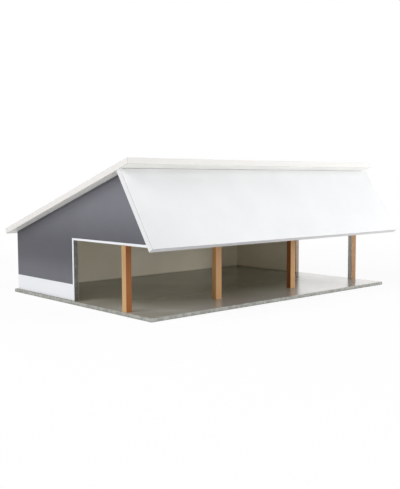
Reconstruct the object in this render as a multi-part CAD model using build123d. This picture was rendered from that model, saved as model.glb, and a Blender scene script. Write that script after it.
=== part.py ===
from build123d import *
import math
import os

# Toy cattle shed: a flat base board, two side walls and a back wall, a steep front panel,
# a low-pitched roof board that lifts off, and a row of four posts along the open front.
# The origin is the middle of the base board's underside. +X is to the right, +Y to the back, +Z up.

# Base board
base_length = 600
base_depth = 430
base_thickness = 6
base_top_rounding = 1.0
base_corner_rounding = 1.0

# Wall boards
board = 9
arris = 0.5
side_inset = 3.5
back_inset = 9.5
back_wall_recess = 1.0
doorway_height = 105.8
doorway_back = 220.8
eaves_height = 117
ridge_height = 229
ridge_setback = 67
header_reach = 11

# Front panel, fixed on the side walls' slanted edges, and cut like the roof from thicker board
cover_board = 10
panel_length = 628
panel_drop = 5

# Lift-off roof
roof_length = 618
roof_shift = -4
roof_front_overhang = 20.8
roof_back_overhang = 14.2
roof_gap = 0.3
batten_width = 10
batten_height = 12
batten_play = 1.0
batten_back_play = 0.5
batten_front_setback = 14

# Posts, cut from one stick, and the beam over the two middle ones; the first post stands
# turned a quarter and a little askew, so its narrow side looks to the front, and they all stand
# about a millimetre off their even places
post_width = 13.8
post_depth = 10.4
post_rounding = 0.8
post_setback = 66.5
post_turns = (83, 0, 0, 0)
post_shifts = (-1.0, -0.65, 1.3, 0.6)
beam_height = 18

# Wood screws with countersunk heads, and beech dowels
screw_shank_radius = 1.5
screw_head_radius = 3.0
screw_head_rim = 0.3
screw_point = 3.0
screw_point_radius = 0.15
screw_sink = 0.3
base_screw_length = 20
batten_screw_length = 18
recess_width = 0.8
recess_span = 3.2
recess_depth = 1.2
dowel_radius = 2.0
dowel_length = 16
dowel_in_face = 6
dowel_chamfer = 0.4
hole_clearance = 0.05
hole_end_room = 0.5

# Where the fixings go
wall_screw_places = (240, 320, 400)
back_screw_places = (-220, -75, 75, 220)
batten_screw_places = (-120, 0, 120)
back_batten_screw_places = (-200, 0, 200)
panel_dowel_places = (30, 110)
back_dowel_heights = (40, 90)
beam_dowel_rise = 13

# Values worked out from the ones above
front_edge = -base_depth / 2
wall_back = base_depth / 2 - back_inset
wall_outer = base_length / 2 - side_inset
wall_inner = wall_outer - board
wall_middle = wall_outer - board / 2
header_z = base_thickness + doorway_height
ridge_y = front_edge + ridge_setback
slant_foot_y = front_edge - header_reach
roof_angle = math.degrees(math.atan2(ridge_height - eaves_height, wall_back - ridge_y))
panel_angle = math.degrees(math.atan2(ridge_height - header_z, ridge_y - slant_foot_y))
back_outer = wall_back - back_wall_recess
back_inner = back_outer - board
post_y = front_edge + post_setback + post_depth / 2
post_pitch = 2 * wall_middle / (len(post_turns) - 1)
post_places = [-wall_middle + index * post_pitch + shift for index, shift in enumerate(post_shifts)]

# The roof's own frame lies on the walls' top edges: x along the ridge, y down the slope, z outwards
roof_frame = Plane(
    origin=(0, ridge_y, ridge_height),
    x_dir=(1, 0, 0),
    z_dir=(0, math.sin(math.radians(roof_angle)), math.cos(math.radians(roof_angle))),
)
# The panel's own frame lies on the slanted edges: x along the ridge, y up the slope, z outwards
panel_frame = Plane(
    origin=(0, ridge_y, ridge_height),
    x_dir=(1, 0, 0),
    z_dir=(0, -math.sin(math.radians(panel_angle)), math.cos(math.radians(panel_angle))),
)
slope_length = math.hypot(ridge_height - eaves_height, wall_back - ridge_y)
slant_length = math.hypot(ridge_height - header_z, ridge_y - slant_foot_y)
# The panel's outer face meets the roof's plane this far in front of the ridge line, along the roof
panel_reach = cover_board / math.sin(math.radians(roof_angle + panel_angle))


def wall_top(y):
    """Height of the walls' sloping top edge at a place along the depth."""
    return ridge_height - (y - ridge_y) * math.tan(math.radians(roof_angle))


def block(x_range, y_range, z_range):
    """Rectangular solid between two limits along each axis."""
    size = [high - low for low, high in (x_range, y_range, z_range)]
    corner = Pos(x_range[0], y_range[0], z_range[0])
    return corner * Box(*size, align=(Align.MIN, Align.MIN, Align.MIN))


def prism(outline, x_low, x_high):
    """Solid with the given (y, z) outline, between two places along the length."""
    face = make_face(Polyline(*[(x_low, y, z) for y, z in outline], close=True))
    return extrude(face, amount=x_high - x_low, dir=(1, 0, 0))


def eased(solid, radius):
    """The solid with every edge of its two end faces along the length rounded."""
    ends = solid.faces().sort_by(Axis.X)
    return fillet(ends[0].edges() + ends[-1].edges(), radius)


def round_bar(radius, length, chamfer_size):
    """Round bar along z from the origin, with chamfered ends."""
    bar = extrude(Circle(radius), amount=length)
    return chamfer(bar.edges().filter_by(GeomType.CIRCLE), chamfer_size)


def dowel(place):
    """Beech dowel whose lower end is at the place's origin, along its z."""
    return place * round_bar(dowel_radius, dowel_length, dowel_chamfer)


def dowel_hole(place):
    """Hole for the dowel at the same place, with glue room past both ends."""
    hole = extrude(Circle(dowel_radius + hole_clearance), amount=dowel_length + 2 * hole_end_room)
    return place * Pos(0, 0, -hole_end_room) * hole


def screw_outline(length, growth):
    """Half outline of a countersunk screw, head at the origin, grown by a clearance."""
    shank = screw_shank_radius + growth
    head = screw_head_radius + growth
    cone_end = screw_head_rim + head - shank
    return [
        (0, 0), (head, 0), (head, screw_head_rim), (shank, cone_end),
        (shank, length - screw_point), (screw_point_radius + growth, length + growth), (0, length + growth),
    ]


def turned(outline):
    """Solid turned about z from (radius, height) points."""
    face = make_face(Polyline(*[(radius, 0, height) for radius, height in outline], close=True))
    return revolve(face, Axis.Z)


def screw(place, length):
    """Countersunk wood screw with a cross recess, its head at the place's origin, along its z."""
    solid = turned(screw_outline(length, 0))
    for angle in (0, 90):
        solid -= Rot(Z=angle) * Pos(0, 0, recess_depth / 2) * Box(recess_span, recess_width, recess_depth)
    return place * solid


def screw_hole(place, length):
    """Countersunk hole for the screw at the same place, open below its head."""
    hole = turned(screw_outline(length, hole_clearance))
    mouth = Pos(0, 0, -screw_sink) * extrude(Circle(screw_head_radius + hole_clearance), amount=screw_sink)
    return place * (hole + mouth)


def both_sides(places):
    """Each (y, z) place on the left wall's middle plane and on the right wall's."""
    return [(side * wall_middle, y, z) for side in (-1, 1) for y, z in places]


# Places of the fixings; each points along its own z
base_screws_in_walls = [Pos(x, y, z) for x, y, z in both_sides(
    [(front_edge + distance, screw_sink) for distance in wall_screw_places])]
base_screws_in_back = [Pos(x, back_inner + board / 2, screw_sink) for x in back_screw_places]
base_screws_in_posts = [Pos(x, post_y, screw_sink) for x in post_places]
base_screw_places = base_screws_in_walls + base_screws_in_back + base_screws_in_posts
post_dowel_places = [Pos(x, post_y, header_z - dowel_length / 2) for x in post_places]
sideways_start = wall_inner + dowel_in_face - dowel_length
beam_dowel_places = [
    Pos(side * sideways_start, post_y, header_z + beam_dowel_rise) * Rot(Y=90 * side) for side in (-1, 1)]
back_dowel_places = [
    Pos(side * sideways_start, back_inner + board / 2, z) * Rot(Y=90 * side)
    for side in (-1, 1) for z in back_dowel_heights]
panel_dowel_locations = [
    panel_frame.location * Pos(side * wall_middle, -distance, dowel_in_face - dowel_length)
    for side in (-1, 1) for distance in panel_dowel_places]


def drilled(solid, holes):
    """The solid less the holes."""
    for hole in holes:
        solid -= hole
    return solid


def make_base_board():
    """Flat board with a rounded top edge, countersunk from below for every screw."""
    solid = block((-base_length / 2, base_length / 2), (-base_depth / 2, base_depth / 2), (0, base_thickness))
    solid = fillet(solid.edges().filter_by(Axis.Z), base_corner_rounding)
    solid = fillet(solid.faces().sort_by(Axis.Z)[-1].edges(), base_top_rounding)
    return drilled(solid, [screw_hole(place, base_screw_length) for place in base_screw_places])


def make_side_wall(side):
    """Board with a leg to the floor at the back and an open doorway under its header in front."""
    outline = [
        (front_edge + doorway_back, base_thickness), (wall_back, base_thickness), (wall_back, eaves_height),
        (ridge_y, ridge_height), (slant_foot_y, header_z), (front_edge + doorway_back, header_z),
    ]
    limits = sorted((side * wall_inner, side * wall_outer))
    solid = eased(prism(outline, *limits), arris)
    holes = [screw_hole(place, base_screw_length) for place in base_screws_in_walls]
    holes += [dowel_hole(place) for place in post_dowel_places + beam_dowel_places]
    holes += [dowel_hole(place) for place in back_dowel_places + panel_dowel_locations]
    return drilled(solid, holes)


def make_back_wall():
    """Board between the side walls, its top edge cut to the roof's slope."""
    outline = [
        (back_inner, base_thickness), (back_outer, base_thickness),
        (back_outer, wall_top(back_outer)), (back_inner, wall_top(back_inner)),
    ]
    solid = prism(outline, -wall_inner, wall_inner)
    holes = [screw_hole(place, base_screw_length) for place in base_screws_in_back]
    holes += [dowel_hole(place) for place in back_dowel_places]
    return drilled(solid, holes)


def make_front_panel():
    """Steep board past both side walls, its top edge cut to the roof's slope."""
    lean = math.radians(panel_angle)
    down = (-math.cos(lean), -math.sin(lean))
    out = (-math.sin(lean), math.cos(lean))
    length = slant_length + panel_drop
    inner_foot = (ridge_y + down[0] * length, ridge_height + down[1] * length)
    outer_foot = (inner_foot[0] + out[0] * cover_board, inner_foot[1] + out[1] * cover_board)
    slope = math.radians(roof_angle)
    outer_top = (ridge_y - panel_reach * math.cos(slope), ridge_height + panel_reach * math.sin(slope))
    solid = prism([inner_foot, (ridge_y, ridge_height), outer_top, outer_foot], -panel_length / 2, panel_length / 2)
    solid = fillet(solid.edges(), arris)
    return drilled(solid, [dowel_hole(place) for place in panel_dowel_locations])


def make_roof_board():
    """Low-pitched board over the walls and the panel's top edge, screwed to its battens from below."""
    along = (roof_shift - roof_length / 2, roof_shift + roof_length / 2)
    down_slope = (-panel_reach - roof_front_overhang, slope_length + roof_back_overhang)
    flat = block(along, down_slope, (roof_gap, roof_gap + cover_board))
    solid = roof_frame.location * fillet(flat.edges(), arris)
    return drilled(solid, [screw_hole(place, batten_screw_length) for place in batten_screw_locations])


# Limits of the roof's battens in the roof's own frame
batten_outer = wall_inner - batten_play
batten_inner = batten_outer - batten_width
back_batten_end = (back_inner - batten_back_play - ridge_y) / math.cos(math.radians(roof_angle))
back_batten_start = back_batten_end - batten_width
batten_z = (roof_gap - batten_height, roof_gap)
side_batten_middle = (batten_front_setback + back_batten_start) / 2


def batten_place(x, y):
    """Place of a batten screw in the roof's own frame, pointing up through the batten."""
    return roof_frame.location * Pos(x, y, roof_gap - batten_height + screw_sink)


side_screw_locations = [
    batten_place(side * (batten_outer - batten_width / 2), side_batten_middle + distance)
    for side in (-1, 1) for distance in batten_screw_places]
back_screw_locations = [
    batten_place(x, back_batten_start + batten_width / 2) for x in back_batten_screw_places]
batten_screw_locations = side_screw_locations + back_screw_locations


def make_side_batten(side):
    """Batten down the slope, just inside a side wall, that keeps the roof from sliding sideways."""
    along = sorted((side * batten_inner, side * batten_outer))
    solid = block(along, (batten_front_setback, back_batten_start), batten_z)
    solid = roof_frame.location * fillet(solid.edges().filter_by(Axis.Y), arris)
    return drilled(solid, [screw_hole(place, batten_screw_length) for place in side_screw_locations])


def make_back_batten():
    """Batten just inside the back wall, that keeps the roof from sliding down its slope."""
    solid = block((-batten_outer, batten_outer), (back_batten_start, back_batten_end), batten_z)
    solid = roof_frame.location * fillet(solid.edges().filter_by(Axis.X), arris)
    return drilled(solid, [screw_hole(place, batten_screw_length) for place in back_screw_locations])


def make_post(x, turn):
    """Hardwood post from the base board up to the header or the beam, turned about its own axis."""
    width = (-post_width / 2, post_width / 2)
    depth = (-post_depth / 2, post_depth / 2)
    stick = block(width, depth, (base_thickness, header_z))
    solid = Pos(x, post_y, 0) * Rot(Z=turn) * fillet(stick.edges().filter_by(Axis.Z), post_rounding)
    holes = [screw_hole(place, base_screw_length) for place in base_screws_in_posts]
    holes += [dowel_hole(place) for place in post_dowel_places]
    return drilled(solid, holes)


def make_post_beam():
    """Beam from side wall to side wall over the two middle posts, behind the front panel."""
    depth = (post_y - post_depth / 2, post_y + post_depth / 2)
    solid = block((-wall_inner, wall_inner), depth, (header_z, header_z + beam_height))
    solid = fillet(solid.edges().filter_by(Axis.X), arris)
    return drilled(solid, [dowel_hole(place) for place in post_dowel_places + beam_dowel_places])


nodes = {
    "base_board": make_base_board(),
    "left_wall": make_side_wall(-1),
    "right_wall": make_side_wall(1),
    "back_wall": make_back_wall(),
    "front_panel": make_front_panel(),
    "post_beam": make_post_beam(),
    "roof_board": make_roof_board(),
    "roof_batten_left": make_side_batten(-1),
    "roof_batten_right": make_side_batten(1),
    "roof_batten_back": make_back_batten(),
    "base_screws": Compound([screw(place, base_screw_length) for place in base_screw_places]),
    "batten_screws": Compound([screw(place, batten_screw_length) for place in batten_screw_locations]),
    "post_dowels": Compound([dowel(place) for place in post_dowel_places]),
    "beam_dowels": Compound([dowel(place) for place in beam_dowel_places]),
    "back_wall_dowels": Compound([dowel(place) for place in back_dowel_places]),
    "panel_dowels": Compound([dowel(place) for place in panel_dowel_locations]),
}
for number, (x, turn) in enumerate(zip(post_places, post_turns), start=1):
    nodes[f"front_post_{number}"] = make_post(x, turn)

os.makedirs("parts", exist_ok=True)
for name, shape in nodes.items():
    export_step(shape, f"parts/{name}.step")
    print(f"{name}: {len(shape.solids())} solids, {shape.volume / 1000:.1f} cm3")
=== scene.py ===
# %% [markdown]
# # A toy cattle shed, finished board by board
# The shed is simple joinery: painted boards, four bare hardwood posts and a loose roof. Its solids
# come ready made and at their real size, so this lesson is about finishes. Each board gets a
# material that knows its broad faces from its cut edges, and carries the small faults that paint,
# wood and varnish have. Lengths are in metres throughout.

# %% Load the shed
import math
import bpy
from mathutils import Matrix, Vector


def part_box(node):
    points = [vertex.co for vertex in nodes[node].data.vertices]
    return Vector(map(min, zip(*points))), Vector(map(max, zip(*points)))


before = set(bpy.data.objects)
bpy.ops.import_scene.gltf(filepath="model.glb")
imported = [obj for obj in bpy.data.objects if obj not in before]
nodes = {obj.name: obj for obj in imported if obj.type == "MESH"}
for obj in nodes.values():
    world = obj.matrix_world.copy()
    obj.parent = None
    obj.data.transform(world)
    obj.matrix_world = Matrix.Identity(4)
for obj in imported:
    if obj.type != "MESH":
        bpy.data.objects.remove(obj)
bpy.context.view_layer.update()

# %% [markdown]
# ## Reading sizes off the boards
# A finish has to stop where the paint stops, so it needs a few real places: the doorway's jamb and
# header, the top of the base board, and which way each board faces. They could be typed in again,
# but then they would go wrong when a board changes. Here they are measured on the solids.

# %% Measure the doorway and the boards' directions
MILLIMETRE = 0.001
CLEAR_OF_JAMB = 5 * MILLIMETRE


def corners(node):
    """Every vertex of a board, in metres."""
    return [v.co.copy() for v in nodes[node].data.vertices]


def broad_side(node):
    """Unit normal of the side of a sloping board with the largest area, the upper one of the two."""
    areas = {}
    for face in nodes[node].data.polygons:
        key = tuple(round(c, 2) for c in face.normal)
        areas[key] = areas.get(key, 0.0) + face.area
    normal = Vector(max(areas, key=areas.get)).normalized()
    return -normal if normal.z < 0 else normal


base_low, base_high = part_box("base_board")
base_top = base_high.z
wall_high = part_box("left_wall")[1]
wall_points = corners("left_wall")
jamb_y = min(p.y for p in wall_points if p.z < base_top + MILLIMETRE)
header_z = min(p.z for p in wall_points if p.y < jamb_y - CLEAR_OF_JAMB)
panel_normal = broad_side("front_panel")
roof_normal = broad_side("roof_board")
roof_under = min(p.dot(roof_normal) for p in corners("roof_board"))
print("jamb at y", round(jamb_y, 4), "header at z", round(header_z, 4))
print("panel faces", [round(c, 3) for c in panel_normal])
print("roof faces", [round(c, 3) for c in roof_normal])

# %% [markdown]
# ## Short words for shader nodes
# A material is a graph, and writing one node by node hides the idea in the wiring. These helpers
# add one node each, fill its sockets with numbers or links, and hand back its output, so that the
# finishes below read almost like sums. The two limits of a ramp are kept as a pair: first the value
# where the effect is absent or least, then the one where it is full. Where a ramp gives something
# else than 0 and 1, such as a roughness, those two values are a pair as well.

# %% Helpers that add and join nodes
def fill(tree, socket, value):
    """Links a socket to an output, or gives it a plain value."""
    if isinstance(value, bpy.types.NodeSocket):
        tree.links.new(value, socket)
    elif value is not None:
        socket.default_value = value


def add(tree, kind, *values, **settings):
    """A shader node with its settings and its first inputs filled in order."""
    made = tree.nodes.new("ShaderNode" + kind)
    for name, value in settings.items():
        setattr(made, name, value)
    for socket, value in zip(made.inputs, values):
        fill(tree, socket, value)
    return made


def sums(tree, operation, *values, clamp=False):
    """One arithmetic step."""
    return add(tree, "Math", *values, operation=operation, use_clamp=clamp).outputs[0]


def times(tree, first, second):
    """Two numbers multiplied, most often one mask by another or by its strength."""
    return sums(tree, "MULTIPLY", first, second)


def vector_sums(tree, operation, *values):
    """One step on vectors; a dot product, a length or a distance comes out as a number."""
    made = add(tree, "VectorMath", *values, operation=operation)
    return made.outputs["Value" if operation in ("DOT_PRODUCT", "LENGTH", "DISTANCE") else "Vector"]


def stretched(tree, vector, x=1.0, y=1.0, z=1.0):
    """The vector multiplied along each axis; under 1, a pattern grows longer that way."""
    return vector_sums(tree, "MULTIPLY", vector, (x, y, z))


def apart(tree, vector):
    """A vector's X, Y and Z as three outputs."""
    return add(tree, "SeparateXYZ", vector).outputs


def ramp(tree, value, low, high, out_low=0.0, out_high=1.0):
    """Smooth step from out_low, where the value is at the first limit, to out_high at the second."""
    made = add(tree, "MapRange", value, low, high, out_low, out_high, interpolation_type="SMOOTHSTEP")
    return made.outputs["Result"]


def noise(tree, vector, per_metre, detail=2.0, roughness=0.5):
    """Soft noise from 0 to 1, with so many features to the metre."""
    made = add(tree, "TexNoise", noise_dimensions="3D")
    fill(tree, made.inputs["Vector"], vector)
    fill(tree, made.inputs["Scale"], per_metre)
    fill(tree, made.inputs["Detail"], detail)
    fill(tree, made.inputs["Roughness"], roughness)
    return made.outputs[0]


def blend(tree, factor, first, second, mode="MIX"):
    """Two colours mixed by a factor. On a Mix node they are inputs 6 and 7, and output 2."""
    made = add(tree, "Mix", factor, data_type="RGBA", blend_type=mode)
    fill(tree, made.inputs[6], first)
    fill(tree, made.inputs[7], second)
    return made.outputs[2]


def tint(tree, factor, colour, by):
    """A colour multiplied by another one, as far as the factor says."""
    return blend(tree, factor, colour, by, mode="MULTIPLY")


def between(tree, factor, first, second):
    """Two numbers mixed by a factor. On a Mix node they are inputs 2 and 3, and output 0."""
    made = add(tree, "Mix", factor, data_type="FLOAT")
    fill(tree, made.inputs[2], first)
    fill(tree, made.inputs[3], second)
    return made.outputs[0]


def screen_colour(red, green, blue):
    """A colour as a screen shows it, from 0 to 255, turned into linear light by the usual curve."""
    def linear(c):
        c /= 255
        return c / 12.92 if c <= 0.04045 else ((c + 0.055) / 1.055) ** 2.4
    return (linear(red), linear(green), linear(blue), 1.0)


print("white paint in linear light", [round(c, 3) for c in screen_colour(240, 240, 238)[:3]])

# %% [markdown]
# ## Effects that several finishes share
# Roller stipple, worn arrises, settled dust and wood grain turn up on more than one board. Each is
# a node group with named inputs and outputs, made once and then placed in every material that needs
# it with its own values.

# %% A helper that makes a group, and one that places it
def new_group(name, inputs, outputs):
    """An empty node group; inputs and outputs map a socket's name to its kind and default."""
    tree = bpy.data.node_groups.new(name, "ShaderNodeTree")
    for label, (kind, default) in inputs.items():
        socket = tree.interface.new_socket(name=label, in_out="INPUT", socket_type="NodeSocket" + kind)
        if default is not None:
            socket.default_value = default
    for label, kind in outputs.items():
        tree.interface.new_socket(name=label, in_out="OUTPUT", socket_type="NodeSocket" + kind)
    entry = tree.nodes.new("NodeGroupInput").outputs
    leave = tree.nodes.new("NodeGroupOutput").inputs
    return tree, entry, leave


def use(tree, name, **values):
    """Places a group in a material and fills the inputs that are named."""
    made = tree.nodes.new("ShaderNodeGroup")
    made.node_tree = bpy.data.node_groups[name]
    for label, value in values.items():
        fill(tree, made.inputs[label], value)
    return made.outputs


# %% [markdown]
# ### Broad faces, cut edges and arrises
# Paint looks smooth on a board's broad faces and dull and slightly fuzzy on its sawn edges, and it
# wears first on the arris between them. The shading normal tells the three apart: along the
# board's own direction it is a broad face, square to it a cut edge, and in between the rounding.

# %% The board group
CUT_EDGE = (0.3, 0.15)
ROUNDED_OFF_EDGE = (0.12, 0.45)
ROUNDED_OFF_FACE = (0.992, 0.9)
OUTER_SIDE = (0.2, 0.5)
RUBBED_THROUGH = (0.53, 0.6)
PATCHES_PER_METRE = 55.0
GRIT_PER_METRE = 420.0
GRIT_SHARE = 0.25

tree, entry, leave = new_group(
    "board_sides",
    {"Normal": ("Vector", None), "Facing": ("Vector", (0.0, 0.0, 1.0)), "Position": ("Vector", None)},
    {"Outer": "Float", "Edge": "Float", "Arris": "Float", "Bare": "Float"},
)
along = vector_sums(tree, "DOT_PRODUCT", entry["Normal"], entry["Facing"])
flatness = sums(tree, "ABSOLUTE", along)
rounding = times(tree, ramp(tree, flatness, *ROUNDED_OFF_EDGE), ramp(tree, flatness, *ROUNDED_OFF_FACE))
patches = noise(tree, entry["Position"], PATCHES_PER_METRE, detail=3.0, roughness=0.6)
grit = noise(tree, entry["Position"], GRIT_PER_METRE)
broken = between(tree, GRIT_SHARE, patches, grit)
fill(tree, leave["Outer"], ramp(tree, along, *OUTER_SIDE))
fill(tree, leave["Edge"], ramp(tree, flatness, *CUT_EDGE))
fill(tree, leave["Arris"], rounding)
fill(tree, leave["Bare"], times(tree, rounding, ramp(tree, broken, *RUBBED_THROUGH)))

# %% [markdown]
# ### Roller stipple
# Board paint is rolled or sprayed and dries with a fine orange-peel skin, about a millimetre from
# bump to bump, over a slower unevenness. The same noise, used weakly, keeps colour and gloss from
# being dead flat.

# %% The paint group
PEEL_PER_METRE = 850.0
SWELL_PER_METRE = 190.0
SWELL_SHARE = 0.35
CLOUDS_PER_METRE = 14.0
FLECKS_PER_METRE = 1300.0
FLECKED = (0.68, 0.76)

tree, entry, leave = new_group(
    "paint_skin",
    {"Position": ("Vector", None)},
    {"Height": "Float", "Cloud": "Float", "Fleck": "Float"},
)
peel = noise(tree, entry["Position"], PEEL_PER_METRE, roughness=0.45)
swell = noise(tree, entry["Position"], SWELL_PER_METRE, detail=1.0)
flecks = noise(tree, entry["Position"], FLECKS_PER_METRE, detail=1.0)
fill(tree, leave["Height"], between(tree, SWELL_SHARE, peel, swell))
fill(tree, leave["Cloud"], noise(tree, entry["Position"], CLOUDS_PER_METRE, detail=3.0, roughness=0.55))
fill(tree, leave["Fleck"], ramp(tree, flecks, *FLECKED))

# %% [markdown]
# ### Settled dust
# Surfaces that look up gather a thin, pale, patchy veil, and vertical ones none. It is faint, but
# it dulls the gloss where it lies.

# %% The dust group
LOOKS_UP = (0.6, 0.95)
DUST_PER_METRE = 22.0
DUST_PATCHES = (0.35, 0.75)

tree, entry, leave = new_group(
    "settled_dust",
    {"Position": ("Vector", None), "Normal": ("Vector", None), "Amount": ("Float", 0.5)},
    {"Veil": "Float"},
)
upward = apart(tree, entry["Normal"])["Z"]
patches = noise(tree, entry["Position"], DUST_PER_METRE, detail=5.0, roughness=0.65)
lying = times(tree, ramp(tree, upward, *LOOKS_UP), ramp(tree, patches, *DUST_PATCHES))
fill(tree, leave["Veil"], sums(tree, "MULTIPLY", lying, entry["Amount"], clamp=True))

# %% [markdown]
# ### Wood grain
# A sawn stick shows growth rings as long, slowly drifting stripes, with finer fibres and short
# open pores between them. The rings are circles round a pith that lies outside the stick, so that
# two neighbouring faces show different stripes and still join up at the arris. Grain runs along Z
# here, and a material turns its coordinates to suit.

# %% The wood group
DRIFT_PER_METRE = 38.0
DRIFT_STRETCH = 0.14
FIBRES_PER_METRE = 1500.0
FIBRE_STRETCH = 0.03
PORES_PER_METRE = 2100.0
PORE_STRETCH = 0.07
LATE_WOOD_GROWS = (0.25, 0.92)
LATE_WOOD_STOPS = (1.0, 0.93)
OPEN_PORES = (0.66, 0.74)
FIBRE_RELIEF = 0.5
PORE_RELIEF = 0.8
LATE_WOOD_RELIEF = 0.25

tree, entry, leave = new_group(
    "wood_grain",
    {"Position": ("Vector", None), "Pith": ("Vector", (0.03, 0.02, 0.0)), "Rings": ("Float", 420.0),
     "Wander": ("Float", 0.0022)},
    {"Late": "Float", "Fibre": "Float", "Pores": "Float", "Height": "Float"},
)
slow = stretched(tree, entry["Position"], z=DRIFT_STRETCH)
drift = noise(tree, slow, DRIFT_PER_METRE, detail=1.0).node.outputs["Color"]
shift = vector_sums(tree, "SCALE", vector_sums(tree, "SUBTRACT", drift, (0.5, 0.5, 0.5)))
fill(tree, shift.node.inputs["Scale"], entry["Wander"])
moved = vector_sums(tree, "ADD", entry["Position"], shift)
from_pith = stretched(tree, vector_sums(tree, "SUBTRACT", moved, entry["Pith"]), z=0.0)
ring = sums(tree, "FRACT", times(tree, vector_sums(tree, "LENGTH", from_pith), entry["Rings"]))
late = times(tree, ramp(tree, ring, *LATE_WOOD_GROWS), ramp(tree, ring, *LATE_WOOD_STOPS))
fibre = noise(tree, stretched(tree, entry["Position"], z=FIBRE_STRETCH), FIBRES_PER_METRE, roughness=0.6)
dashes = noise(tree, stretched(tree, entry["Position"], z=PORE_STRETCH), PORES_PER_METRE, detail=1.0)
pores = ramp(tree, dashes, *OPEN_PORES)
relief = sums(tree, "SUBTRACT", times(tree, fibre, FIBRE_RELIEF), times(tree, pores, PORE_RELIEF))
fill(tree, leave["Late"], late)
fill(tree, leave["Fibre"], fibre)
fill(tree, leave["Pores"], pores)
fill(tree, leave["Height"], sums(tree, "ADD", relief, times(tree, late, LATE_WOOD_RELIEF)))
print(len(bpy.data.node_groups), "shared effects:", ", ".join(sorted(g.name for g in bpy.data.node_groups)))

# %% [markdown]
# ## Starting a material
# Every finish begins the same way: a Principled shader, the position on the board and the normal,
# both from Object coordinates, so the pattern is fixed to the board and moves with it.

# %% Start and finish a material
NOISE_SPAN = (0.3, 0.7)
BARE_BOARD = screen_colour(176, 143, 112)
DUST = screen_colour(205, 200, 190)


def start_finish(name):
    """A new material: its tree, its shader's inputs, and the position and normal on the piece."""
    material = bpy.data.materials.new(name)
    material.use_nodes = True
    tree = material.node_tree
    shader = tree.nodes["Principled BSDF"].inputs
    coordinates = add(tree, "TexCoord").outputs
    return material, tree, shader, coordinates["Object"], coordinates["Normal"]


def roughen(tree, shader, height, depth):
    """Feeds a height to the shader through a bump node; the depth is in metres."""
    bump = add(tree, "Bump")
    fill(tree, bump.inputs["Distance"], depth)
    fill(tree, bump.inputs["Height"], height)
    fill(tree, shader["Normal"], bump.outputs["Normal"])


def cover(node, material):
    """Gives a piece one material all over."""
    nodes[node].data.materials.clear()
    nodes[node].data.materials.append(material)
    print(node, "is finished with", material.name)


print("noise mostly lies between", NOISE_SPAN[0], "and", NOISE_SPAN[1])

# %% [markdown]
# ## White roof and front panel
# Both are boards in satin white. The broad faces are even, the sawn edges a little duller and warmer,
# because raw board drinks the paint, and here and there the arris has rubbed through to bare board. Hands
# lift the roof by its ends, so the arrises and corners there have gathered the most grime. Low down at the
# left end the faces carry painted shade, a touch darker, and an edge that looks down carries painted shade
# as well, darkest towards the left.

# %% How the white boards have aged
SHADE_OF_WHITE = (0.965, 0.97, 0.97, 1.0)
# Painted shade: the faces are a touch darker low down at the left end.
LEFT_END_SHADE = (0.94, 0.945, 0.95, 1.0)
LEFT_END_SHADE_ALONG = (-190 * MILLIMETRE, base_low.x)
LEFT_END_SHADE_DOWN = (0.85 * wall_high.z, 0.62 * wall_high.z)
HELD_NEAR_END = (180 * MILLIMETRE, 300 * MILLIMETRE)
END_ARRIS = (0.1, 0.5)
GRIME_ANYWHERE = 0.25
GRIME_NEAR_END = 0.6
GRIME_ON_END = 0.9
CORNER_OFF_EDGE = (0.15, 0.4)
CORNER_OFF_END = (0.98, 0.85)
CORNER_GRIME = 0.6
LOOKS_DOWN = (-0.5, -0.8)
# Painted shade: edges that look down are darker, most of all towards the left.
DOWN_EDGE_SHADE_LEFT = (0.71, 0.71, 0.72, 1.0)
DOWN_EDGE_SHADE = (0.92, 0.92, 0.92, 1.0)
DOWN_EDGE_SHADE_ALONG = (-150 * MILLIMETRE, 60 * MILLIMETRE)
DUST_ON_WHITE = 0.1
FLECK_STRENGTH = 0.12
SATIN_SPAN = (0.2, 0.8)
SATIN_WHITE = (0.34, 0.46)
SAWN_WHITE = 0.62
DUSTY_WHITE = 0.85
WHITE_FIBRES_PER_METRE = 2600.0
WHITE_RELIEF = 0.07 * MILLIMETRE
print("hands have darkened the paint from", HELD_NEAR_END[0], "m out from the middle")

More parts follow.
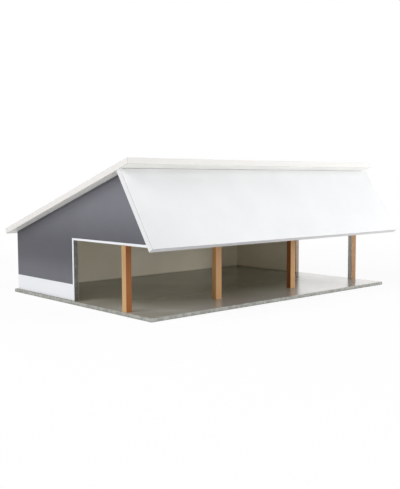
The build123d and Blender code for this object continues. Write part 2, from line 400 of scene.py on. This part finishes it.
# %% Finish the white boards
def white_board(name, facing, white, edge_colour, grime, wear):
    """Satin white paint on a board whose broad side has the given normal."""
    material, tree, shader, position, normal = start_finish(name)
    sides = use(tree, "board_sides", Normal=normal, Facing=tuple(facing), Position=position)
    skin = use(tree, "paint_skin", Position=position)
    dust = use(tree, "settled_dust", Position=position, Normal=normal, Amount=DUST_ON_WHITE)["Veil"]
    way = apart(tree, normal)
    place = apart(tree, position)
    cloudy = tint(tree, ramp(tree, skin["Cloud"], *NOISE_SPAN), white, SHADE_OF_WHITE)
    towards_left = ramp(tree, place["X"], *LEFT_END_SHADE_ALONG)
    towards_foot = ramp(tree, place["Z"], *LEFT_END_SHADE_DOWN)
    # Painted shade low at the left end.
    cloudy = tint(tree, times(tree, towards_left, towards_foot), cloudy, LEFT_END_SHADE)
    sideways = sums(tree, "ABSOLUTE", way["X"])
    from_middle = sums(tree, "ABSOLUTE", place["X"])
    near_end = ramp(tree, from_middle, *HELD_NEAR_END, GRIME_ANYWHERE, GRIME_NEAR_END)
    on_end = ramp(tree, sideways, *END_ARRIS, GRIME_ANYWHERE, GRIME_ON_END)
    handled = sums(tree, "MAXIMUM", on_end, near_end)
    rimmed = blend(tree, times(tree, sides["Arris"], handled), cloudy, grime)
    corner = times(tree, ramp(tree, sideways, *CORNER_OFF_EDGE), ramp(tree, sideways, *CORNER_OFF_END))
    # Painted shade on the down-facing edges.
    down_edge_shade = blend(tree, ramp(tree, place["X"], *DOWN_EDGE_SHADE_ALONG), DOWN_EDGE_SHADE_LEFT, DOWN_EDGE_SHADE)
    shaded_down_edge = tint(tree, ramp(tree, way["Z"], *LOOKS_DOWN), edge_colour, down_edge_shade)
    edges = blend(tree, times(tree, corner, CORNER_GRIME), shaded_down_edge, grime)
    painted = blend(tree, sides["Edge"], rimmed, edges)
    worn = blend(tree, times(tree, sides["Bare"], wear), painted, BARE_BOARD)
    dusty = blend(tree, dust, worn, DUST)
    flecked = blend(tree, times(tree, skin["Fleck"], FLECK_STRENGTH), dusty, DUST)
    fill(tree, shader["Base Color"], flecked)
    satin = ramp(tree, skin["Cloud"], *SATIN_SPAN, *SATIN_WHITE)
    under_dust = between(tree, sides["Edge"], satin, SAWN_WHITE)
    fill(tree, shader["Roughness"], between(tree, dust, under_dust, DUSTY_WHITE))
    fibres = noise(tree, position, WHITE_FIBRES_PER_METRE)
    roughen(tree, shader, between(tree, sides["Edge"], skin["Height"], fibres), WHITE_RELIEF)
    return material


panel_paint = white_board(
    "panel_white", panel_normal,
    white=screen_colour(236, 237, 238), edge_colour=screen_colour(234, 234, 236),
    grime=screen_colour(158, 160, 164), wear=0.25)
roof_paint = white_board(
    "roof_white", roof_normal,
    white=screen_colour(248, 247, 243), edge_colour=screen_colour(237, 235, 232),
    grime=screen_colour(158, 138, 118), wear=0.5)
cover("front_panel", panel_paint)
cover("roof_board", roof_paint)

# %% [markdown]
# ## Walls in two colours
# Outside, each wall is dark grey over a white plinth, with a thin white line round the doorway.
# Inside, it is plain cream. The colours meet along straight lines at known heights, so they are
# masks made from the position, not separate pieces. The masking tape never lies quite straight, so
# each line wavers by a tenth of a millimetre or so, and the one over the doorway gains a little
# width towards the front.

# %% Where the painted lines run
PLINTH_TOP = base_top + 28.5 * MILLIMETRE
JAMB_LINE = 4.05 * MILLIMETRE
HEADER_LINE = 3.5 * MILLIMETRE
HEADER_LINE_GAIN = 0.0035
WAVERS_PER_METRE = 60.0
LINE_WAVER = 0.25 * MILLIMETRE
LINE_SOFTNESS = 0.15 * MILLIMETRE


def below(tree, value, limit):
    """1 where the value is under the limit, with a sharp but not stepped change."""
    return ramp(tree, value, limit + LINE_SOFTNESS, limit - LINE_SOFTNESS)


def wavering(tree, position):
    """The position moved a little to and fro, so that a straight line drawn with it wavers."""
    wobble = sums(tree, "SUBTRACT", noise(tree, position, WAVERS_PER_METRE), 0.5)
    waver = times(tree, wobble, 2 * LINE_WAVER)
    return vector_sums(tree, "ADD", position, add(tree, "CombineXYZ", waver, waver, waver).outputs[0])


def white_lines(tree, place, has_doorway):
    """1 on the plinth, and on the line round the doorway where the wall has one."""
    plinth = below(tree, place["Z"], PLINTH_TOP)
    if not has_doorway:
        return plinth
    near_jamb = below(tree, place["Y"], jamb_y + JAMB_LINE)
    before_jamb = sums(tree, "SUBTRACT", jamb_y, place["Y"])
    tilted_z = sums(tree, "SUBTRACT", place["Z"], times(tree, before_jamb, HEADER_LINE_GAIN))
    near_header = below(tree, tilted_z, header_z + HEADER_LINE)
    return sums(tree, "MAXIMUM", plinth, times(tree, near_jamb, near_header))


print("plinth up to", round(PLINTH_TOP, 4), "and lines", JAMB_LINE, "and", HEADER_LINE, "wide")

# %% [markdown]
# The grey is painted paler high under the roof and low over the plinth: painted light, for the sheen and
# light that fall there, over a random mottle. A dark line along the walls' tops is the roof's painted
# shadow, and a thin one along their feet inside is painted shade where wall meets floor. The sawn jambs
# took the paint badly, are smeared and get darker towards the floor, and the right jamb is a paler copy of
# the same paint, painted light for the lamp that reaches it.

# %% How the walls have aged
WALL_GREY = screen_colour(76, 77, 84)
WALL_GREY_PALE = screen_colour(116, 117, 125)
# Painted light: the grey is painted paler high under the roof and low over the plinth, for the sheen and
# light that fall there.
PAINTED_LIGHT_UPWARDS = (88 * MILLIMETRE, 195 * MILLIMETRE)
PAINTED_LIGHT_DOWNWARDS = (88 * MILLIMETRE, 42 * MILLIMETRE)
PAINTED_LIGHT_LOW_DOWN = 0.5
MOTTLE_PER_METRE = 240.0
MOTTLE_SHARE = 0.4
MOTTLE_STRENGTH = 0.9
PLINTH_WHITE = screen_colour(243, 245, 249)
INSIDE_CREAM = screen_colour(238, 231, 210)
INSIDE_SHADE = screen_colour(233, 226, 203)
JAMB_LEFT = (screen_colour(110, 112, 110), screen_colour(160, 158, 153), screen_colour(90, 79, 62))
# Painted light: the right jamb is a paler copy of the same grey edge paint, lit by the lamp that reaches
# it.
JAMB_RIGHT_PAINTED_LIT = (screen_colour(170, 148, 136), screen_colour(198, 180, 168), screen_colour(170, 150, 136))
JAMB_SMEARS = (0.42, 0.68)
JAMB_SMEAR_STRENGTH = 0.55
# The jambs turn darker towards the floor.
DARKER_TOWARDS_FLOOR = (base_top + 45 * MILLIMETRE, base_top + 8 * MILLIMETRE)
DARKER_LOW_STRENGTH = 0.6
# Painted shadow: a dark line on the walls just under the roof.
ROOF_SHADOW_TINT = (0.55, 0.55, 0.56, 1.0)
ROOF_SHADOW_BELOW = (6.5 * MILLIMETRE, 2.5 * MILLIMETRE)
# Painted shade: a thin dark line along the walls' feet inside, where they meet the floor.
FLOOR_JOIN_SHADE = (0.62, 0.6, 0.56, 1.0)
FLOOR_JOIN_SHADE_ABOVE = (base_top + 2.6 * MILLIMETRE, base_top)
WALL_WEAR = 0.35
SATIN_GREY = (0.42, 0.54)
SAWN_ROUGHNESS = 0.7
WALL_FIBRES_PER_METRE = 2200.0
WHITE_FILM = 0.6
WALL_RELIEF = 0.08 * MILLIMETRE
# The line printed here is painted shade along the walls' feet.
print("swept line", round(FLOOR_JOIN_SHADE_ABOVE[0] - base_top, 4), "m high inside")

# %% Finish the three walls
def wall_board(name, facing, edge_tones, has_doorway):
    """Grey and white outside, cream inside, on a wall whose outer side has the given normal."""
    material, tree, shader, position, normal = start_finish(name)
    sides = use(tree, "board_sides", Normal=normal, Facing=facing, Position=position)
    skin = use(tree, "paint_skin", Position=position)
    shifted = wavering(tree, position)
    place = apart(tree, shifted)
    white_part = white_lines(tree, place, has_doorway)
    mottle = noise(tree, position, MOTTLE_PER_METRE, detail=4.0, roughness=0.62)
    cloud = between(tree, MOTTLE_SHARE, skin["Cloud"], mottle)
    # Painted light high and low on the wall, mixed with a random mottle of the coat.
    high = ramp(tree, place["Z"], *PAINTED_LIGHT_UPWARDS)
    low = ramp(tree, place["Z"], *PAINTED_LIGHT_DOWNWARDS, out_high=PAINTED_LIGHT_LOW_DOWN)
    uneven = times(tree, sums(tree, "SUBTRACT", cloud, 0.5), MOTTLE_STRENGTH)
    painted_light_and_mottle = sums(tree, "ADD", sums(tree, "MAXIMUM", high, low), uneven, clamp=True)
    up_to_roof = vector_sums(tree, "DOT_PRODUCT", shifted, tuple(roof_normal))
    # Painted shadow of the roof along the wall's top edge.
    roof_shadow = ramp(tree, sums(tree, "SUBTRACT", roof_under, up_to_roof), *ROOF_SHADOW_BELOW)
    grey = tint(tree, roof_shadow, blend(tree, painted_light_and_mottle, WALL_GREY, WALL_GREY_PALE), ROOF_SHADOW_TINT)
    outside = blend(tree, white_part, grey, PLINTH_WHITE)
    cream = blend(tree, ramp(tree, skin["Cloud"], *NOISE_SPAN), INSIDE_CREAM, INSIDE_SHADE)
    # Painted shade along the inside foot of the wall.
    inside = tint(tree, ramp(tree, place["Z"], *FLOOR_JOIN_SHADE_ABOVE), cream, FLOOR_JOIN_SHADE)
    faces = blend(tree, sides["Outer"], inside, outside)
    raw, pale, low_tone = edge_tones
    smeared = blend(tree, ramp(tree, mottle, *JAMB_SMEARS, out_high=JAMB_SMEAR_STRENGTH), raw, pale)
    # Darker towards the floor.
    darker_low = blend(tree, ramp(tree, place["Z"], *DARKER_TOWARDS_FLOOR, out_high=DARKER_LOW_STRENGTH), smeared, low_tone)
    with_edges = blend(tree, sides["Edge"], faces, darker_low)
    worn = blend(tree, times(tree, sides["Bare"], WALL_WEAR), with_edges, BARE_BOARD)
    fill(tree, shader["Base Color"], worn)
    satin = ramp(tree, cloud, *NOISE_SPAN, *SATIN_GREY)
    fill(tree, shader["Roughness"], between(tree, sides["Edge"], satin, SAWN_ROUGHNESS))
    film = times(tree, times(tree, white_part, sides["Outer"]), WHITE_FILM)
    peel = sums(tree, "ADD", skin["Height"], film)
    fibres = noise(tree, position, WALL_FIBRES_PER_METRE)
    roughen(tree, shader, between(tree, sides["Edge"], peel, fibres), WALL_RELIEF)
    return material


cover("left_wall", wall_board("left_wall_paint", (-1, 0, 0), JAMB_LEFT, has_doorway=True))
# The right wall's jamb tones are painted light.
cover("right_wall", wall_board("right_wall_paint", (1, 0, 0), JAMB_RIGHT_PAINTED_LIT, has_doorway=True))
cover("back_wall", wall_board("back_wall_paint", (0, 1, 0), JAMB_LEFT, has_doorway=False))

# %% [markdown]
# ## The base board's concrete finish
# The floor imitates poured concrete: olive-grey with slow clouds and faint specks, under a satin varnish.
# It is painted paler along the open front and in the doorways, painted light where the lamps reach in, and
# less so in the front left corner, which is painted shade. At the low angle of a child's eye the varnish
# mirrors what stands on it and what lies beyond, so its gloss matters as much as its colour. The sawn edge
# is unvarnished and coarser, with clear specks, and painted darker on its lower half as painted shade near
# the ground.

# %% The floor's colours and where it is worn
FLOOR_OLIVE = screen_colour(118, 116, 100)
# Painted light: the paler floor colour, laid where light falls in through the front and the doorways.
FLOOR_OLIVE_LIT = screen_colour(180, 177, 171)
FLOOR_CLOUD = (0.94, 0.94, 0.93, 1.0)
FLOOR_CLOUDS_PER_METRE = 7.0
FLOOR_MOTTLE_PER_METRE = 130.0
FLOOR_MOTTLE_SHARE = 0.3
FLOOR_CLOUD_SPAN = (0.35, 0.65)
# Where the painted light lies: along the open front and in the doorways, less in the front left corner,
# which is painted shade.
LIT_TOWARDS_FRONT = (-30 * MILLIMETRE, base_low.y)
LIT_EDGE_WANDER = 20 * MILLIMETRE
DOOR_LIT_FROM_END = (95 * MILLIMETRE, 12 * MILLIMETRE)
DOOR_LIT_BEFORE_JAMB = (jamb_y + 4 * MILLIMETRE, jamb_y - 30 * MILLIMETRE)
DOOR_LIGHT = 0.45
FRONT_LEFT_CORNER = (base_low.x, base_low.y, base_top)
CORNER_SHADED = (40 * MILLIMETRE, 88 * MILLIMETRE)
CORNER_LIGHT = 0.52


def floor_painted_light(tree, position, place, clouds):
    """1 where the floor is painted palest, as painted light through the open front and doorways, 0 where
    none is painted.
    """
    wandering_y = sums(tree, "ADD", place["Y"], times(tree, clouds, LIT_EDGE_WANDER))
    along_front = ramp(tree, wandering_y, *LIT_TOWARDS_FRONT)
    from_end = sums(tree, "SUBTRACT", base_high.x, sums(tree, "ABSOLUTE", place["X"]))
    before_jamb = ramp(tree, place["Y"], *DOOR_LIT_BEFORE_JAMB)
    through_door = times(tree, ramp(tree, from_end, *DOOR_LIT_FROM_END), before_jamb)
    # The sum of painted light along the front and in the doorways.
    worn = sums(tree, "ADD", along_front, times(tree, through_door, DOOR_LIGHT), clamp=True)
    from_corner = vector_sums(tree, "DISTANCE", position, FRONT_LEFT_CORNER)
    return times(tree, worn, ramp(tree, from_corner, *CORNER_SHADED, out_low=CORNER_LIGHT))


# The depth printed is that of the painted light along the front.
print("the floor is worn up to", round(LIT_TOWARDS_FRONT[0] - base_low.y, 3), "m in from the front")

# %% The edge's colours, the specks and the varnish
EDGE_DARK = screen_colour(150, 150, 144)
EDGE_PALE = screen_colour(180, 180, 175)
EDGE_MOTTLE = (0.38, 0.62)
# Painted shade: the base's sawn edge is darker on its lower half, near the ground.
EDGE_FOOT_SHADE = (0.72, 0.72, 0.71, 1.0)
EDGE_SHADE_BELOW = (0.5 * base_top, 0.0)
FLOOR_STONE = screen_colour(196, 195, 190)
FLOOR_PIT = screen_colour(104, 102, 93)
SPECKS_PER_METRE = 900.0
PALE_SPECKS = (0.64, 0.72)
DARK_SPECKS = (0.36, 0.3)
SPECKS_ON_TOP = 0.08
SPECKS_ON_EDGE = 0.4
DUST_ON_FLOOR = 0.03
SCUFFS_PER_METRE = 90.0
SCUFF_STRETCH = 0.12
SCUFFED = (0.55, 0.75)
SCUFF_DULLS = 0.01
VARNISH = (0.2, 0.25)
SPECKS_THROUGH_VARNISH = 0.03
CONCRETE_RELIEF = 0.06 * MILLIMETRE
print("the varnish's roughness runs from", VARNISH[0], "to", VARNISH[1])

# %% Finish the base board
def concrete_board(name):
    """Varnished concrete-effect top with a coarser, speckled edge."""
    material, tree, shader, position, normal = start_finish(name)
    sides = use(tree, "board_sides", Normal=normal, Facing=(0.0, 0.0, 1.0), Position=position)
    dust = use(tree, "settled_dust", Position=position, Normal=normal, Amount=DUST_ON_FLOOR)["Veil"]
    place = apart(tree, position)
    clouds = noise(tree, position, FLOOR_CLOUDS_PER_METRE, detail=3.0)
    mottle = noise(tree, position, FLOOR_MOTTLE_PER_METRE, detail=4.0, roughness=0.6)
    specks = noise(tree, position, SPECKS_PER_METRE)
    rim = sums(tree, "MAXIMUM", sides["Edge"], sides["Arris"])
    # Paler where painted light falls in.
    plain = blend(tree, floor_painted_light(tree, position, place, clouds), FLOOR_OLIVE, FLOOR_OLIVE_LIT)
    floor_tone = ramp(tree, between(tree, FLOOR_MOTTLE_SHARE, clouds, mottle), *FLOOR_CLOUD_SPAN)
    floor_colour = blend(tree, floor_tone, tint(tree, 1.0, plain, FLOOR_CLOUD), plain)
    edge_tone = blend(tree, ramp(tree, mottle, *EDGE_MOTTLE), EDGE_DARK, EDGE_PALE)
    # Painted shade low on the edge.
    edge_colour = tint(tree, ramp(tree, place["Z"], *EDGE_SHADE_BELOW), edge_tone, EDGE_FOOT_SHADE)
    colour = blend(tree, rim, floor_colour, edge_colour)
    speck_strength = between(tree, rim, SPECKS_ON_TOP, SPECKS_ON_EDGE)
    pale = times(tree, ramp(tree, specks, *PALE_SPECKS), speck_strength)
    dark = times(tree, ramp(tree, specks, *DARK_SPECKS), speck_strength)
    speckled = blend(tree, dark, blend(tree, pale, colour, FLOOR_STONE), FLOOR_PIT)
    fill(tree, shader["Base Color"], blend(tree, dust, speckled, DUST))
    scuff_lines = stretched(tree, position, y=SCUFF_STRETCH)
    scuffs = noise(tree, scuff_lines, SCUFFS_PER_METRE, detail=4.0, roughness=0.6)
    dulled = ramp(tree, scuffs, *SCUFFED, out_high=SCUFF_DULLS)
    varnish = sums(tree, "ADD", ramp(tree, clouds, *NOISE_SPAN, *VARNISH), dulled)
    fill(tree, shader["Roughness"], between(tree, sides["Edge"], varnish, SAWN_ROUGHNESS))
    under_varnish = times(tree, specks, SPECKS_THROUGH_VARNISH)
    roughen(tree, shader, between(tree, sides["Edge"], under_varnish, specks), CONCRETE_RELIEF)
    return material


cover("base_board", concrete_board("concrete_board"))

# %% [markdown]
# ## Hardwood posts
# The four posts are bare, straight-grained hardwood, cut from one stick that is wider than it is deep. On
# the first and the third the narrow faces are dark, because the saw met the heartwood there, the second has
# nearly one tone all round, and the fourth is near white on its left side alone. The first stands turned a
# quarter, so its dark narrow side looks to the front. So each post gets two tones, and the direction that
# its narrow faces look in picks between them. The first three are painted a little darker towards the head,
# as painted shade under the header and the panel.

# %% Which way each post is turned
UPRIGHT = 0.1


def narrow_way(node):
    """Unit direction that a post's narrow faces look in, the one of the two that points left."""
    areas = {}
    for face in nodes[node].data.polygons:
        if abs(face.normal.z) < UPRIGHT:
            key = (round(abs(face.normal.x), 1), round(abs(face.normal.y), 1))
            areas.setdefault(key, [0.0, face.normal.copy()])[0] += face.area
    widest = max(areas.values(), key=lambda side: side[0])[1]
    way = Vector((-widest.y, widest.x, 0.0)).normalized()
    return -way if way.x > 0 else way


# %% Finish the posts
POST_STICKS = [
    ("front_post_1", (0.032, 0.019, 0.0), (213, 173, 124), (164, 97, 28), True),
    ("front_post_2", (-0.027, 0.024, 0.0), (214, 165, 110), (228, 178, 123), True),
    ("front_post_3", (0.021, -0.034, 0.0), (216, 168, 113), (155, 94, 43), True),
    ("front_post_4", (-0.038, -0.016, 0.0), (171, 129, 83), (255, 252, 246), False),
]
NARROW_FACE = (0.55, 0.85)
# Painted shade: the posts' heads are darker under the header and the panel.
HEAD_SHADE = (0.82, 0.79, 0.73, 1.0)
FIBRE_SHARE = 0.5
STREAK = (0.8, 0.72, 0.64, 1.0)
STREAKED = (0.15, 0.9)
PORE_WOOD = screen_colour(92, 52, 26)
PORE_STRENGTH = 0.4
HARDWOOD_ROUGHNESS = (0.48, 0.6)
HARDWOOD_RELIEF = 0.12 * MILLIMETRE


def hardwood(name, centre, direction, pith, tones, both_sides):
    """Bare hardwood with its grain along Z, one tone on its wide faces and one on its narrow ones."""
    material, tree, shader, position, normal = start_finish(name)
    local = vector_sums(tree, "SUBTRACT", position, tuple(centre))
    grain = use(tree, "wood_grain", Position=local, Pith=pith, Rings=430.0, Wander=2.2 * MILLIMETRE)
    facing = vector_sums(tree, "DOT_PRODUCT", normal, tuple(direction))
    if both_sides:
        facing = sums(tree, "ABSOLUTE", facing)
    wide_tone, narrow_tone = tones
    tone = blend(tree, ramp(tree, facing, *NARROW_FACE), wide_tone, narrow_tone)
    if both_sides:
        # Painted shade towards the head.
        towards_shaded_head = ramp(tree, apart(tree, position)["Z"], base_top, header_z)
        tone = tint(tree, towards_shaded_head, tone, HEAD_SHADE)
    stripes = between(tree, FIBRE_SHARE, grain["Late"], grain["Fibre"])
    streaked = tint(tree, ramp(tree, stripes, *STREAKED), tone, STREAK)
    pored = blend(tree, times(tree, grain["Pores"], PORE_STRENGTH), streaked, PORE_WOOD)
    fill(tree, shader["Base Color"], pored)
    fill(tree, shader["Roughness"], ramp(tree, grain["Fibre"], *NOISE_SPAN, *HARDWOOD_ROUGHNESS))
    roughen(tree, shader, grain["Height"], HARDWOOD_RELIEF)
    return material


for post, pith, wide_face, narrow_face, both_sides in POST_STICKS:
    low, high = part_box(post)
    way = narrow_way(post)
    tones = (screen_colour(*wide_face), screen_colour(*narrow_face))
    cover(post, hardwood(post + "_wood", (low + high) / 2, way, pith, tones, both_sides))
    print("  its narrow faces look along", [round(c, 2) for c in way])

# %% [markdown]
# ## Softwood inside
# The beam over the posts and the battens under the roof are plain planed softwood, seen only when
# the roof comes off or from below. The same grain group serves, with wider rings and its axis
# turned to run along each stick.

# %% Finish the beam and the battens
SPRING_WOOD = screen_colour(226, 196, 150)
SUMMER_WOOD = screen_colour(198, 150, 96)
SUMMER_RINGS = (0.1, 0.95)
SOFT_FIBRE = screen_colour(190, 146, 96)
SOFT_FIBRES = (0.35, 0.8)
SOFT_FIBRE_STRENGTH = 0.3
SOFTWOOD_PITH = (0.05, -0.4, 0.0)
SOFTWOOD_ROUGHNESS = (0.55, 0.68)
SOFTWOOD_RELIEF = 0.1 * MILLIMETRE


def turned_along(tree, position, grain_axis):
    """The position turned so that the given direction becomes Z, as the grain group wants it."""
    turn = Vector(grain_axis).rotation_difference(Vector((0, 0, 1))).to_euler()
    return add(tree, "Mapping", position, (0.0, 0.0, 0.0), tuple(turn), vector_type="POINT").outputs[0]


def softwood(name, grain_axis):
    """Planed softwood with its grain along the given direction."""
    material, tree, shader, position, normal = start_finish(name)
    local = turned_along(tree, position, grain_axis)
    grain = use(tree, "wood_grain", Position=local, Pith=SOFTWOOD_PITH, Rings=330.0, Wander=4 * MILLIMETRE)
    wood = blend(tree, ramp(tree, grain["Late"], *SUMMER_RINGS), SPRING_WOOD, SUMMER_WOOD)
    fibres = ramp(tree, grain["Fibre"], *SOFT_FIBRES, out_high=SOFT_FIBRE_STRENGTH)
    fill(tree, shader["Base Color"], blend(tree, fibres, wood, SOFT_FIBRE))
    fill(tree, shader["Roughness"], ramp(tree, grain["Fibre"], *NOISE_SPAN, *SOFTWOOD_ROUGHNESS))
    roughen(tree, shader, grain["Height"], SOFTWOOD_RELIEF)
    return material


down_the_roof = roof_normal.cross(Vector((1, 0, 0))).normalized()
cover("post_beam", softwood("beam_softwood", (1, 0, 0)))
cover("roof_batten_back", softwood("back_batten_softwood", (1, 0, 0)))
for batten in ("roof_batten_left", "roof_batten_right"):
    cover(batten, softwood(batten + "_softwood", down_the_roof))

# %% [markdown]
# ## Dowels and screws
# Dowels are beech, pale with short dark flecks. The screws are zinc plated: bright, a little
# yellow, with a brushed grain and darker blotches.

# %% Finish the dowels
BEECH_PALE = screen_colour(222, 186, 146)
BEECH_RING = screen_colour(206, 164, 122)
BEECH_FLECK = screen_colour(150, 104, 66)
BEECH_PITH = (0.03, 0.02, 0.0)
BEECH_ROUGHNESS = (0.5, 0.65)
BEECH_RELIEF = 0.08 * MILLIMETRE


def beech(name, grain_axis):
    """Pale beech with fine flecks along the grain."""
    material, tree, shader, position, normal = start_finish(name)
    local = turned_along(tree, position, grain_axis)
    grain = use(tree, "wood_grain", Position=local, Pith=BEECH_PITH, Rings=500.0, Wander=2 * MILLIMETRE)
    wood = blend(tree, grain["Late"], BEECH_PALE, BEECH_RING)
    flecked = blend(tree, times(tree, grain["Pores"], PORE_STRENGTH), wood, BEECH_FLECK)
    fill(tree, shader["Base Color"], flecked)
    fill(tree, shader["Roughness"], ramp(tree, grain["Fibre"], *NOISE_SPAN, *BEECH_ROUGHNESS))
    roughen(tree, shader, grain["Height"], BEECH_RELIEF)
    return material


cover("post_dowels", beech("post_dowel_beech", (0, 0, 1)))
cover("beam_dowels", beech("beam_dowel_beech", (1, 0, 0)))
cover("back_wall_dowels", beech("back_dowel_beech", (1, 0, 0)))
cover("panel_dowels", beech("panel_dowel_beech", panel_normal))

# %% Finish the screws
ZINC_PALE = screen_colour(202, 200, 192)
ZINC_DARK = screen_colour(178, 174, 162)
BLOTCHES_PER_METRE = 700.0
BLOTCHED = (0.35, 0.65)
BRUSHED_PER_METRE = 2400.0
BRUSHED_SQUEEZE = 6.0
ZINC_ROUGHNESS = (0.28, 0.42)
ZINC_RELIEF = 0.03 * MILLIMETRE


def zinc(name):
    """Zinc-plated steel with a fine brushed grain."""
    material, tree, shader, position, normal = start_finish(name)
    blotches = noise(tree, position, BLOTCHES_PER_METRE, detail=3.0)
    brushed = noise(tree, stretched(tree, position, z=BRUSHED_SQUEEZE), BRUSHED_PER_METRE)
    fill(tree, shader["Base Color"], blend(tree, ramp(tree, blotches, *BLOTCHED), ZINC_PALE, ZINC_DARK))
    shader["Metallic"].default_value = 1.0
    fill(tree, shader["Roughness"], ramp(tree, blotches, *NOISE_SPAN, *ZINC_ROUGHNESS))
    roughen(tree, shader, brushed, ZINC_RELIEF)
    return material


for screws in ("base_screws", "batten_screws"):
    cover(screws, zinc(screws + "_zinc"))

# %% [markdown]
# ## Floor, light and camera
# The shed stands in soft studio light. A faint white surrounding fills every side. The main lamp
# hangs in front on the right, so that the panel brightens slowly that way. A small one low on the
# right, and a weak one low in front, send light in under the panel. One high on the left lights the
# grey wall and falls through the doorway, and one behind on the right fills the other doorway.
# The floor is white to the camera and keeps a faint shadow, because near the shed a part of what
# the camera sees there is the light that falls on it.

# %% The floor
FLOOR_SIZE = 12.0
FLOOR_TILES = 4
FLOOR_GAP = 0.2 * MILLIMETRE
FLOOR_GLOW = 0.92
SHADOW_FADES = (0.5, 1.3)
PAPER_WHITE = (0.96, 0.96, 0.96, 1.0)
PAPER_ROUGHNESS = 0.9
PAPER_SHINE = 0.1
WHITE = (1.0, 1.0, 1.0, 1.0)


def seen_itself(tree):
    """1 where the camera sees the surface, also by way of a mirror or glass, and 0 for its light."""
    light_path = add(tree, "LightPath").outputs
    seen = sums(tree, "MAXIMUM", light_path["Is Camera Ray"], light_path["Is Glossy Ray"])
    return sums(tree, "MAXIMUM", seen, light_path["Is Transmission Ray"])


bpy.ops.object.select_all(action="DESELECT")
bpy.ops.mesh.primitive_grid_add(
    x_subdivisions=FLOOR_TILES, y_subdivisions=FLOOR_TILES, size=FLOOR_SIZE, location=(0, 0, -FLOOR_GAP))
floor = bpy.context.object
floor.name = "studio_floor"
bpy.ops.object.transform_apply(location=True, rotation=True, scale=True)
floor_paper = bpy.data.materials.new("studio_paper")
floor_paper.use_nodes = True
tree = floor_paper.node_tree
paper = tree.nodes["Principled BSDF"]
paper.inputs["Base Color"].default_value = PAPER_WHITE
paper.inputs["Roughness"].default_value = PAPER_ROUGHNESS
paper.inputs["Specular IOR Level"].default_value = PAPER_SHINE
glow = add(tree, "Emission", WHITE, 1.0)
away = vector_sums(tree, "LENGTH", add(tree, "TexCoord").outputs["Object"])
share = times(tree, seen_itself(tree), ramp(tree, away, *SHADOW_FADES, out_low=FLOOR_GLOW))
both = add(tree, "MixShader", share, paper.outputs[0], glow.outputs[0])
tree.links.new(both.outputs[0], tree.nodes["Material Output"].inputs["Surface"])
floor.data.materials.append(floor_paper)
print("floor", FLOOR_SIZE, "m wide, white from", SHADOW_FADES[1], "m out")

# %% The light
SURROUND = 0.3
world = bpy.data.worlds.new("studio_surround")
bpy.context.scene.world = world
world.use_nodes = True
tree = world.node_tree
background = tree.nodes["Background"]
background.inputs["Color"].default_value = WHITE
fill(tree, background.inputs["Strength"], between(tree, seen_itself(tree), SURROUND, 1.0))


def soft_lamp(name, place, target, size, power):
    """A square area lamp at a place, aimed at a target."""
    data = bpy.data.lights.new(name, "AREA")
    data.shape = "SQUARE"
    data.size = size
    data.energy = power
    lamp = bpy.data.objects.new(name, data)
    bpy.context.scene.collection.objects.link(lamp)
    aim = Vector(target) - Vector(place)
    lamp.matrix_world = Matrix.Translation(place) @ aim.to_track_quat("-Z", "Y").to_matrix().to_4x4()
    print(name, "stands", round(aim.length, 2), "m from what it lights")


MIDDLE = (0.0, 0.0, 0.1)
soft_lamp("front_right_high_lamp", (1.4, -1.8, 1.7), MIDDLE, size=1.2, power=18.3)
soft_lamp("near_right_lamp", (0.9, -1.2, 0.3), (0.2, -0.1, 0.1), size=0.5, power=6.0)
soft_lamp("front_low_lamp", (-0.4, -2.0, 0.35), MIDDLE, size=0.7, power=1.9)
soft_lamp("high_left_lamp", (-1.6, 0.0, 1.6), MIDDLE, size=1.2, power=26.2)
soft_lamp("back_right_lamp", (2.3, 1.7, 0.5), (0.2, 0.0, 0.05), size=1.6, power=5.5)

# %% [markdown]
# The camera stands low in front of the left corner. Its place and lens were worked out from the
# photograph's straight edges, so the render can be laid over it.

# %% The camera
CAMERA_PLACE = (-0.97273, -1.07738, 0.21175)
CAMERA_HEADING = 41.808
CAMERA_DIP = 4.9155
CAMERA_ROLL = -0.1966
LENS = 53.987
SENSOR_WIDTH = 36.0
NEAR_LIMIT = 0.01

camera_data = bpy.data.cameras.new("camera")
camera_data.lens = LENS
camera_data.sensor_width = SENSOR_WIDTH
camera_data.clip_start = NEAR_LIMIT
camera = bpy.data.objects.new("camera", camera_data)
bpy.context.scene.collection.objects.link(camera)
turned = Matrix.Rotation(-math.radians(CAMERA_HEADING), 4, "Z")
tilted = Matrix.Rotation(math.radians(90 - CAMERA_DIP), 4, "X")
rolled = Matrix.Rotation(math.radians(CAMERA_ROLL), 4, "Z")
camera.matrix_world = Matrix.Translation(CAMERA_PLACE) @ turned @ tilted @ rolled
bpy.context.scene.camera = camera
bpy.context.scene.view_settings.view_transform = "Standard"
print("camera at", CAMERA_PLACE, "with a lens of", LENS, "mm")
